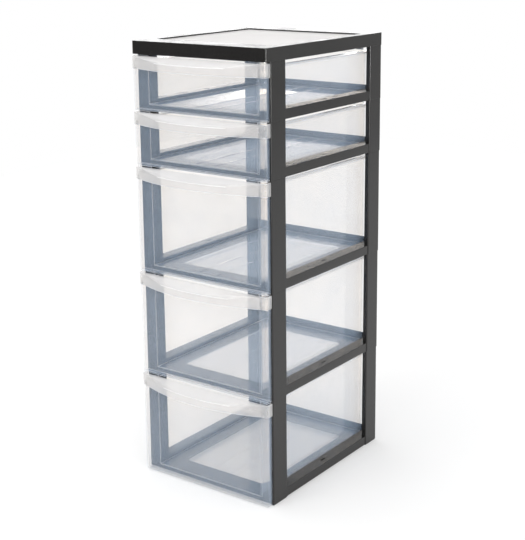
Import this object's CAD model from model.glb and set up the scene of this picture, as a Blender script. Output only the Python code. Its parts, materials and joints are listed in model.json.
"""Plastic drawer tower: black moulded frame and clear moulded drawers in a plain white studio."""
import json
import math

import bmesh
import bpy
from mathutils import Matrix, Vector
from mathutils.geometry import intersect_point_line

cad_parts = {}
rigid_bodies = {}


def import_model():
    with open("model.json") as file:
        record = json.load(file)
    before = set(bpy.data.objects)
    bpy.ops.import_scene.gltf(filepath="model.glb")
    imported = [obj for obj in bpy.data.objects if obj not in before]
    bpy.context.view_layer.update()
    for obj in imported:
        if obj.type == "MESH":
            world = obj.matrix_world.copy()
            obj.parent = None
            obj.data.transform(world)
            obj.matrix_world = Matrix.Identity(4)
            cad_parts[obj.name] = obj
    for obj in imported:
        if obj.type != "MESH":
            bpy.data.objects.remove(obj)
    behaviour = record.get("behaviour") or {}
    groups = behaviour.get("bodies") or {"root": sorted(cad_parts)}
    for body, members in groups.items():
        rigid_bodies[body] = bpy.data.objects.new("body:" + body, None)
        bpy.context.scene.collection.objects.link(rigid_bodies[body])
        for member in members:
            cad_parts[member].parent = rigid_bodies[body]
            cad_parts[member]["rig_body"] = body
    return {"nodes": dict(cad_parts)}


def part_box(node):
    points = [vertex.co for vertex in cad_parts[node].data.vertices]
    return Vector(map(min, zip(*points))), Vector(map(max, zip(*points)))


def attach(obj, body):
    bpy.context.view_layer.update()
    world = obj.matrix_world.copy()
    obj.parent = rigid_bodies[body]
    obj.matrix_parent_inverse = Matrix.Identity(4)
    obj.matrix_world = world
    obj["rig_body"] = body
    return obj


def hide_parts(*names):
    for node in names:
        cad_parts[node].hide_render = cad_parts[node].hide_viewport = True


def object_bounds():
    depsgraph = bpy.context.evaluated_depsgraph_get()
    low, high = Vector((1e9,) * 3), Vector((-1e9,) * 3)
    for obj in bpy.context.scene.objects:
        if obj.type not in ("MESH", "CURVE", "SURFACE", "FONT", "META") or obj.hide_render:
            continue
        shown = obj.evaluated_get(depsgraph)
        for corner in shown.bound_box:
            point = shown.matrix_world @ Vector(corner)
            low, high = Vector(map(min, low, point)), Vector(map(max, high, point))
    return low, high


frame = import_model()
cad_low, cad_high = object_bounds()
scene = bpy.context.scene
MM = 0.001

TIERS = range(1, 6)
FRAME_BODY = "tower_frame"

# Rounding of the moulded edges, and the distance within which a shape's corners merge
FRAME_EDGE = 0.65 * MM
DRAWER_EDGE = 0.6 * MM
PANEL_EDGE = 0.5 * MM
FRAME_WELD = 0.02 * MM
DRAWER_WELD = 0.25 * MM

# Flat faces merge below FLAT_ANGLE; edges are rounded between EDGE_ANGLE and WEDGE_ANGLE
FLAT_ANGLE = math.radians(0.4)
EDGE_ANGLE = math.radians(35)
WEDGE_ANGLE = math.radians(150)

# Room that an edge needs: the share of it that a rounding may take, and which lines bound it
EDGE_ROOM = 0.45
STRAIGHT_ON = math.radians(140)
FACING = -0.3
PLANE_STEP = 0.05 * MM

# Shares of red, green and blue that the clear plastic keeps at each face
CLEAR_KEPT = (1.0, 0.991, 0.982)
SHEET_KEPT = (0.96, 0.945, 0.945)

# Sizes in the plastics' skins, in millimetres, and how the clear walls act on light
BLACK_GRAIN = 0.9
BLACK_FLOW = 45
CLEAR_FLOW = 60
HAZE_SPREAD = 0.07
FLATTEST_VIEW = 0.18
GLOSS_FACE_ON = 0.014
GLOSS_FLAT = 0.9
GLOSS_POWER = 5.0

# Lip of a drawer front: the stepped collar and the bowed pull
HEEL_Y = -160.75 * MM
COLLAR_HEIGHT = 23.5 * MM
TAB_ABOVE_FRONT = 6.5 * MM

# Stiffening ribs inside the hollow side rails, seen from below
RIB_COUNT = 6
RIB_THICK = 1.6 * MM
RAIL_WALL = 2.5 * MM
RAIL_HEIGHT = 18 * MM
RIB_CLEAR = 2 * MM
RIB_SINK = 0.3 * MM
RIB_BAND = 25.5 * MM


def linear(hex_colour):
    """sRGB hex colour as linear RGBA."""
    parts = [int(hex_colour[i:i + 2], 16) / 255 for i in (1, 3, 5)]
    return [p / 12.92 if p <= 0.04045 else ((p + 0.055) / 1.055) ** 2.4 for p in parts] + [1.0]


def add_node(tree, kind, inputs=None, **settings):
    """A node with its settings; inputs are plain values or sockets to link from."""
    node = tree.nodes.new(kind)
    for name, value in settings.items():
        setattr(node, name, value)
    for name, value in (inputs or {}).items():
        if isinstance(value, bpy.types.NodeSocket):
            tree.links.new(value, node.inputs[name])
        else:
            node.inputs[name].default_value = value
    return node


def empty_material(name):
    """A new material with no nodes in it, and its node tree."""
    material = bpy.data.materials.new(name)
    material.use_nodes = True
    material.node_tree.nodes.clear()
    return material, material.node_tree


def per_metre(size_mm):
    """Texture scale whose features are about size_mm across."""
    return 1 / (size_mm * MM)


def black_polypropylene():
    """Injection-moulded black polypropylene.

    Its satin skin has a fine spark-eroded grain, which gives the eye broad, soft highlights.
    """
    material, tree = empty_material("black_moulded_polypropylene")
    place = add_node(tree, "ShaderNodeTexCoord").outputs["Object"]
    # real grain is near 0.2 mm; drawn at 0.9 mm so that it shows
    grain = add_node(tree, "ShaderNodeTexNoise", {
        "Vector": place, "Scale": per_metre(BLACK_GRAIN), "Detail": 2.0})
    bump = add_node(tree, "ShaderNodeBump", {
        "Height": grain.outputs["Fac"], "Strength": 0.05, "Distance": 0.05 * MM})
    flow = add_node(tree, "ShaderNodeTexNoise", {
        "Vector": place, "Scale": per_metre(BLACK_FLOW), "Detail": 3.0})
    rough = add_node(tree, "ShaderNodeMapRange", {
        "Value": flow.outputs["Fac"], "From Min": 0.3, "From Max": 0.7, "To Min": 0.19, "To Max": 0.27})
    tone = add_node(tree, "ShaderNodeMix", {
        "Factor": flow.outputs["Fac"], "A": linear("#1d1c1c"), "B": linear("#232221")}, data_type="RGBA")
    skin = add_node(tree, "ShaderNodeBsdfPrincipled", {
        "Base Color": tone.outputs["Result"], "Roughness": rough.outputs["Result"],
        "Normal": bump.outputs["Normal"], "IOR": 1.49})
    add_node(tree, "ShaderNodeOutputMaterial", {"Surface": skin.outputs["BSDF"]})
    return material


def clear_polypropylene(name, haze, haze_colour, gloss_rough,
                        gloss_colour="#ffffff", face_keeps=CLEAR_KEPT):
    """Clear moulded polypropylene.

    It scatters a little light, bluish, and passes the rest, warmer, so it looks milky over dark things and
    clear over white ones. Its smooth skin has a gloss that grows at flat angles.
    """
    material, tree = empty_material(name)
    # what isn't scattered is passed, so the passed light lacks the haze's tint
    unscattered = [(1 - haze * tint) / (1 - haze) for tint in linear(haze_colour)[:3]]
    clear_colour = [share * kept_part for share, kept_part in zip(unscattered, face_keeps)] + [1.0]
    place = add_node(tree, "ShaderNodeTexCoord").outputs["Object"]
    flow = add_node(tree, "ShaderNodeTexNoise", {
        "Vector": place, "Scale": per_metre(CLEAR_FLOW), "Detail": 2.0})
    ripple = add_node(tree, "ShaderNodeBump", {
        "Height": flow.outputs["Fac"], "Strength": 0.05, "Distance": 0.3 * MM})
    through = add_node(tree, "ShaderNodeBsdfTransparent", {"Color": clear_colour})
    front_scatter = add_node(tree, "ShaderNodeBsdfDiffuse", {"Color": linear(haze_colour)})
    back_scatter = add_node(tree, "ShaderNodeBsdfTranslucent", {"Color": linear(haze_colour)})
    scatter = add_node(tree, "ShaderNodeMixShader", {
        0: 0.5, 1: front_scatter.outputs["BSDF"], 2: back_scatter.outputs["BSDF"]})
    passed = add_node(tree, "ShaderNodeMapRange", {
        "Value": flow.outputs["Fac"], "From Min": 0.3, "From Max": 0.7,
        "To Min": 1 - haze * (1 - HAZE_SPREAD), "To Max": 1 - haze * (1 + HAZE_SPREAD)})
    # the path through the wall is longer at a flat angle
    facing = add_node(tree, "ShaderNodeLayerWeight", {"Blend": 0.5})
    square = add_node(tree, "ShaderNodeMath", {0: 1.0, 1: facing.outputs["Facing"]}, operation="SUBTRACT")
    upright = add_node(tree, "ShaderNodeMath", {
        0: square.outputs["Value"], 1: FLATTEST_VIEW}, operation="MAXIMUM")
    path_length = add_node(tree, "ShaderNodeMath", {
        0: 1.0, 1: upright.outputs["Value"]}, operation="DIVIDE")
    kept = add_node(tree, "ShaderNodeMath", {
        0: passed.outputs["Result"], 1: path_length.outputs["Value"]}, operation="POWER")
    wall = add_node(tree, "ShaderNodeMixShader", {
        0: kept.outputs["Value"], 1: scatter.outputs["Shader"], 2: through.outputs["BSDF"]})
    # gloss share of a wall with refractive index 1.49, the same from within as from outside
    steep = add_node(tree, "ShaderNodeMath", {
        0: facing.outputs["Facing"], 1: GLOSS_POWER}, operation="POWER")
    mirror_share = add_node(tree, "ShaderNodeMath", {
        0: steep.outputs["Value"], 1: GLOSS_FLAT, 2: GLOSS_FACE_ON}, operation="MULTIPLY_ADD")
    mirror = add_node(tree, "ShaderNodeBsdfGlossy", {
        "Color": linear(gloss_colour), "Roughness": gloss_rough, "Normal": ripple.outputs["Normal"]})
    surface = add_node(tree, "ShaderNodeMixShader", {
        0: mirror_share.outputs["Value"], 1: wall.outputs["Shader"], 2: mirror.outputs["BSDF"]})
    add_node(tree, "ShaderNodeOutputMaterial", {"Surface": surface.outputs["Shader"]})
    return material


def gap_between(first, second):
    """Shortest distance between two lines that don't cross."""
    gaps = []
    for line, other in ((first, second), (second, first)):
        start, end = (corner.co for corner in other.verts)
        for corner in line.verts:
            share = intersect_point_line(corner.co, start, end)[1]
            gaps.append((corner.co - start.lerp(end, min(max(share, 0.0), 1.0))).length)
    return min(gaps)


def facing_rooms(faces, rooms):
    """Narrows the rooms of sharp edges that face each other across faces of one plane."""
    sides = []
    for loop in (loop for face in faces for loop in face.loops):
        if loop.edge in rooms:
            start, end = loop.vert.co, loop.link_loop_next.vert.co
            run = (end - start).normalized()
            sides.append((loop.edge, (start + end) / 2, run, loop.face.normal.cross(run)))
    for first, first_middle, first_run, inward in sides:
        for second, second_middle, second_run, _ in sides:
            if first_run.dot(second_run) < FACING and inward.dot(second_middle - first_middle) > 0:
                if not set(first.verts) & set(second.verts):
                    rooms[first] = min(rooms[first], gap_between(first, second))


def weigh_edges(shape, edge):
    """Marks the sharp edges that the lines round them leave room to round."""
    weight = shape.edges.layers.float.new("bevel_weight_edge")
    rooms = {}
    for line in shape.edges:
        if len(line.link_faces) == 2 and EDGE_ANGLE <= line.calc_face_angle() <= WEDGE_ANGLE:
            rooms[line] = math.inf
    for line in rooms:
        for corner in line.verts:
            along = line.other_vert(corner).co - corner.co
            for other in corner.link_edges:
                away = other.other_vert(corner).co - corner.co
                corner_angle = along.angle(away)
                if other is not line and corner_angle < STRAIGHT_ON:
                    narrowing = math.tan(corner_angle / 2) if other in rooms else 1.0
                    rooms[line] = min(rooms[line], away.length * min(narrowing, 1.0))
    planes = {}
    for face in shape.faces:
        depth = face.normal.dot(face.verts[0].co)
        key = tuple(round(part, 2) for part in face.normal) + (round(depth / PLANE_STEP),)
        planes.setdefault(key, []).append(face)
    for faces in planes.values():
        facing_rooms(faces, rooms)
    for line, room in rooms.items():
        if room * EDGE_ROOM >= edge:
            line[weight] = 1.0


def softened(node_name, edge, weld, materials, body):
    """The CAD node's own shape with its sharp edges rounded, in the node's place.

    The last of the materials is the finish of the rounded edges.
    """
    mesh = frame["nodes"][node_name].data.copy()
    shape = bmesh.new()
    shape.from_mesh(mesh)
    bmesh.ops.remove_doubles(shape, verts=shape.verts, dist=weld)
    bmesh.ops.dissolve_limit(shape, angle_limit=FLAT_ANGLE, verts=shape.verts, edges=shape.edges)
    weigh_edges(shape, edge)
    shape.to_mesh(mesh)
    shape.free()
    mesh.materials.clear()
    for material in materials:
        mesh.materials.append(material)
    mesh.shade_smooth()
    piece = bpy.data.objects.new(node_name + "_moulding", mesh)
    scene.collection.objects.link(piece)
    rounding = piece.modifiers.new("rounded edges", "BEVEL")
    rounding.width = edge
    rounding.segments = 2
    rounding.limit_method = "WEIGHT"
    rounding.use_clamp_overlap = False
    rounding.material = len(materials) - 1
    piece.modifiers.new("even shading", "WEIGHTED_NORMAL")
    bpy.context.view_layer.update()
    evaluated = piece.evaluated_get(bpy.context.evaluated_depsgraph_get())
    piece.data = bpy.data.meshes.new_from_object(evaluated)
    piece.modifiers.clear()
    piece.data.name = piece.name
    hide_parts(node_name)
    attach(piece, body)
    return piece


def satin_lip(piece, node_name):
    """Gives the collar and the pull of a drawer front the second, satin finish."""
    lip_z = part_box(node_name)[1].z - TAB_ABOVE_FRONT - COLLAR_HEIGHT
    for face in piece.data.polygons:
        if face.material_index == 0 and face.center.y < HEEL_Y and face.center.z > lip_z:
            face.material_index = 1


def rib_row_tree(material):
    """Rows of upright ribs along Y, one row from each start point: named sizes in, realised mesh out."""
    tree = bpy.data.node_groups.new("rail_rib_rows", "GeometryNodeTree")
    tree.interface.new_socket("Geometry", in_out="INPUT", socket_type="NodeSocketGeometry")
    tree.interface.new_socket("Count", in_out="INPUT", socket_type="NodeSocketInt")
    for name in ("Pitch", "Width", "Thickness", "Height"):
        tree.interface.new_socket(name, in_out="INPUT", socket_type="NodeSocketFloat")
    tree.interface.new_socket("Geometry", in_out="OUTPUT", socket_type="NodeSocketGeometry")
    sizes = add_node(tree, "NodeGroupInput").outputs
    step = add_node(tree, "ShaderNodeCombineXYZ", {"Y": sizes["Pitch"]})
    line = add_node(tree, "GeometryNodeMeshLine", {
        "Count": sizes["Count"], "Offset": step.outputs["Vector"]})
    rib_size = add_node(tree, "ShaderNodeCombineXYZ", {
        "X": sizes["Width"], "Y": sizes["Thickness"], "Z": sizes["Height"]})
    rib = add_node(tree, "GeometryNodeMeshCube", {"Size": rib_size.outputs["Vector"]})
    row = add_node(tree, "GeometryNodeInstanceOnPoints", {
        "Points": line.outputs["Mesh"], "Instance": rib.outputs["Mesh"]})
    rows = add_node(tree, "GeometryNodeInstanceOnPoints", {
        "Points": sizes["Geometry"], "Instance": row.outputs["Instances"]})
    solid = add_node(tree, "GeometryNodeRealizeInstances", {"Geometry": rows.outputs["Instances"]})
    painted = add_node(tree, "GeometryNodeSetMaterial", {
        "Geometry": solid.outputs["Geometry"], "Material": material})
    add_node(tree, "NodeGroupOutput", {"Geometry": painted.outputs["Geometry"]})
    return tree


def rail_ribs(material):
    """Stiffening ribs inside the hollow side rails of all shelf rings."""
    front_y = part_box("post_1_front_right")[1].y
    pitch = (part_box("post_1_back_right")[0].y - front_y) / (RIB_COUNT + 1)
    outer = cad_high.x - RAIL_WALL + RIB_SINK
    inner = cad_high.x - RIB_BAND + RAIL_WALL - RIB_SINK
    height = RAIL_HEIGHT - RAIL_WALL + RIB_SINK - RIB_CLEAR
    starts = []
    for tier in TIERS:
        middle_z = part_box(f"shelf_{tier}")[0].z + RIB_CLEAR + height / 2
        starts += [(side * (outer + inner) / 2, front_y + pitch, middle_z) for side in (-1, 1)]
    mesh = bpy.data.meshes.new("shelf_rail_ribs")
    mesh.from_pydata(starts, [], [])
    piece = bpy.data.objects.new("shelf_rail_ribs", mesh)
    scene.collection.objects.link(piece)
    rows = piece.modifiers.new("ribs", "NODES")
    rows.node_group = rib_row_tree(material)
    values = {"Count": RIB_COUNT, "Pitch": pitch,
              "Width": outer - inner, "Thickness": RIB_THICK, "Height": height}
    for item in rows.node_group.interface.items_tree:
        if item.in_out == "INPUT" and item.name in values:
            rows[item.identifier] = values[item.name]
    bpy.context.view_layer.update()
    evaluated = piece.evaluated_get(bpy.context.evaluated_depsgraph_get())
    piece.data = bpy.data.meshes.new_from_object(evaluated)
    piece.modifiers.clear()
    piece.data.name = piece.name
    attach(piece, FRAME_BODY)


# Pieces of the tower
black = black_polypropylene()
# glossy walls of the drawers, faintly blue over dark things
clear = clear_polypropylene(
    "clear_moulded_polypropylene", haze=0.095, haze_colour="#cbe3ff", gloss_rough=0.06)
# milky, softly shining lips of the drawers
satin = clear_polypropylene(
    "satin_moulded_polypropylene", haze=0.26, haze_colour="#f7f6f6", gloss_rough=0.18)
# rounded edges of the drawers, which catch the light as pale lines
bright_edge = clear_polypropylene(
    "clear_polypropylene_edge", haze=0.5, haze_colour="#fdfdff", gloss_rough=0.1)
# matte top sheet, pale grey at a flat angle
clear_sheet = clear_polypropylene(
    "clear_pressed_sheet", haze=0.1, haze_colour="#cfcccc", gloss_rough=0.6,
    gloss_colour="#ecebea", face_keeps=SHEET_KEPT)

frame_nodes = [name for name, node in frame["nodes"].items() if node["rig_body"] == FRAME_BODY]
for name in frame_nodes:
    if name == "top_panel":
        softened(name, PANEL_EDGE, FRAME_WELD, [clear_sheet], FRAME_BODY)
    else:
        softened(name, FRAME_EDGE, FRAME_WELD, [black], FRAME_BODY)
drawer_finishes = [clear, satin, bright_edge]
for tier in TIERS:
    name = f"drawer_{tier}"
    drawer = softened(name, DRAWER_EDGE, DRAWER_WELD, drawer_finishes, f"{name}_body")
    satin_lip(drawer, name)
rail_ribs(black)

# White studio: floor, world and lamps; the world is dark round DARK_SIDE and dim round BEYOND_SIDE
FLOOR_HALF_WIDTH = 2.6
FLOOR_FRONT = -1.1
FLOOR_BACK = 3.4
FLOOR_LIFT = 0.28
FLOOR_SHINE = 0.18
DARK_SIDE = (-0.6, -0.8, 0.0)
DARK_EDGE = 0.7
DARK_CORE = 0.92
ROOM_DARK = 0.16
BEYOND_SIDE = (0.58, 0.81, 0.0)
BEYOND_EDGE = 0.8
BEYOND_CORE = 0.95
BEYOND_DARK = 0.6
ROOM_WHITE = 1.0


def studio_floor():
    """Pale paper floor: white to the eye and in reflections, with a soft contact shadow."""
    mesh = bpy.data.meshes.new("studio_floor")
    corners = [(-FLOOR_HALF_WIDTH, FLOOR_FRONT, 0), (FLOOR_HALF_WIDTH, FLOOR_FRONT, 0),
               (FLOOR_HALF_WIDTH, FLOOR_BACK, 0), (-FLOOR_HALF_WIDTH, FLOOR_BACK, 0)]
    mesh.from_pydata(corners, [], [(0, 1, 2, 3)])
    floor = bpy.data.objects.new("studio_floor", mesh)
    scene.collection.objects.link(floor)
    material, tree = empty_material("white_paper_floor")
    paper = add_node(tree, "ShaderNodeBsdfDiffuse", {"Color": linear("#d2d2d2")})
    path = add_node(tree, "ShaderNodeLightPath").outputs
    seen = add_node(tree, "ShaderNodeMath", {
        0: path["Is Camera Ray"], 1: path["Is Transmission Ray"]}, operation="MAXIMUM")
    shine = add_node(tree, "ShaderNodeMath", {
        0: path["Is Glossy Ray"], 1: FLOOR_SHINE}, operation="MULTIPLY")
    lift = add_node(tree, "ShaderNodeMath", {
        0: seen.outputs["Value"], 1: FLOOR_LIFT, 2: shine.outputs["Value"]}, operation="MULTIPLY_ADD")
    glow = add_node(tree, "ShaderNodeEmission", {
        "Color": linear("#ffffff"), "Strength": lift.outputs["Value"]})
    sum_up = add_node(tree, "ShaderNodeAddShader", {
        0: paper.outputs["BSDF"], 1: glow.outputs["Emission"]})
    add_node(tree, "ShaderNodeOutputMaterial", {"Surface": sum_up.outputs["Shader"]})
    mesh.materials.append(material)


def studio_world():
    """White surround: full white to the eye; as light, dark at the front left and dim at the back right."""
    world = bpy.data.worlds.new("white_surround")
    scene.world = world
    world.use_nodes = True
    tree = world.node_tree
    tree.nodes.clear()
    path = add_node(tree, "ShaderNodeLightPath").outputs
    toward = add_node(tree, "ShaderNodeTexCoord").outputs["Generated"]
    nearness = add_node(tree, "ShaderNodeVectorMath", {0: toward, 1: DARK_SIDE}, operation="DOT_PRODUCT")
    room = add_node(tree, "ShaderNodeMapRange", {
        "Value": nearness.outputs["Value"], "From Min": DARK_EDGE, "From Max": DARK_CORE,
        "To Min": ROOM_WHITE, "To Max": ROOM_DARK}, interpolation_type="SMOOTHSTEP")
    beyond_nearness = add_node(tree, "ShaderNodeVectorMath", {
        0: toward, 1: BEYOND_SIDE}, operation="DOT_PRODUCT")
    beyond = add_node(tree, "ShaderNodeMapRange", {
        "Value": beyond_nearness.outputs["Value"], "From Min": BEYOND_EDGE, "From Max": BEYOND_CORE,
        "To Min": 1.0, "To Max": BEYOND_DARK}, interpolation_type="SMOOTHSTEP")
    both = add_node(tree, "ShaderNodeMath", {
        0: room.outputs["Result"], 1: beyond.outputs["Result"]}, operation="MULTIPLY")
    strength = add_node(tree, "ShaderNodeMix", {
        "Factor": path["Is Camera Ray"], "A": both.outputs["Value"], "B": 1.0}, data_type="FLOAT")
    light = add_node(tree, "ShaderNodeBackground", {
        "Color": linear("#ffffff"), "Strength": strength.outputs["Result"]})
    add_node(tree, "ShaderNodeOutputWorld", {"Surface": light.outputs["Background"]})


def softbox(name, place, target, size, watts):
    """Large soft lamp aimed at a point of the tower."""
    lamp = bpy.data.lights.new(name, "AREA")
    lamp.shape = "RECTANGLE"
    lamp.size, lamp.size_y = size
    lamp.energy = watts
    holder = bpy.data.objects.new(name, lamp)
    scene.collection.objects.link(holder)
    holder.location = place
    holder.rotation_euler = (Vector(target) - Vector(place)).to_track_quat("-Z", "Y").to_euler()
    holder.visible_camera = False


studio_floor()
studio_world()
softbox("back_softbox", place=(-2.4, 3.2, 1.0), target=(0, 0, 0.84), size=(2.8, 0.45), watts=13)
softbox("top_softbox", place=(-0.3, -0.3, 2.8), target=(0, 0, 0.4), size=(2.0, 2.0), watts=20)
softbox("front_softbox", place=(-0.5, -2.3, 2.5), target=(0, 0, 0.4), size=(1.8, 1.2), watts=22)
softbox("side_softbox", place=(4.2, -3.05, 0.35), target=(0, 0, 0.6), size=(0.9, 0.3), watts=80)

# Camera at the photograph's viewing angle
CAMERA_PLACE = Vector((1.3075, -1.7759, 1.0239))
CAMERA_YAW = 0.6301
CAMERA_PITCH = 0.2456
CAMERA_ROLL = -0.0089
FOCAL_PIXELS = 1181.6
IMAGE_WIDTH = 525
IMAGE_HEIGHT = 540
CENTRE_ROW = 229.5
SENSOR = 36.0


def photo_camera():
    """Camera at the photograph's place and turn, with a small vertical shift for its framing."""
    data = bpy.data.cameras.new("photo_camera")
    camera = bpy.data.objects.new("photo_camera", data)
    scene.collection.objects.link(camera)
    ahead = Vector((-math.sin(CAMERA_YAW) * math.cos(CAMERA_PITCH),
                    math.cos(CAMERA_YAW) * math.cos(CAMERA_PITCH), -math.sin(CAMERA_PITCH)))
    level = Vector((math.cos(CAMERA_YAW), math.sin(CAMERA_YAW), 0))
    upward = level.cross(ahead)
    right = level * math.cos(CAMERA_ROLL) + upward * math.sin(CAMERA_ROLL)
    up = upward * math.cos(CAMERA_ROLL) - level * math.sin(CAMERA_ROLL)
    turn = Matrix((right, up, -ahead)).transposed().to_4x4()
    camera.matrix_world = Matrix.Translation(CAMERA_PLACE) @ turn
    long_side = max(IMAGE_WIDTH, IMAGE_HEIGHT)
    data.sensor_width = SENSOR
    data.lens = FOCAL_PIXELS / long_side * SENSOR
    data.shift_y = (CENTRE_ROW - IMAGE_HEIGHT / 2) / long_side
    scene.camera = camera


photo_camera()
scene.view_settings.view_transform = "Standard"
scene.cycles.max_bounces = 16
scene.cycles.transparent_max_bounces = 96
scene.cycles.glossy_bounces = 6
scene.cycles.diffuse_bounces = 5
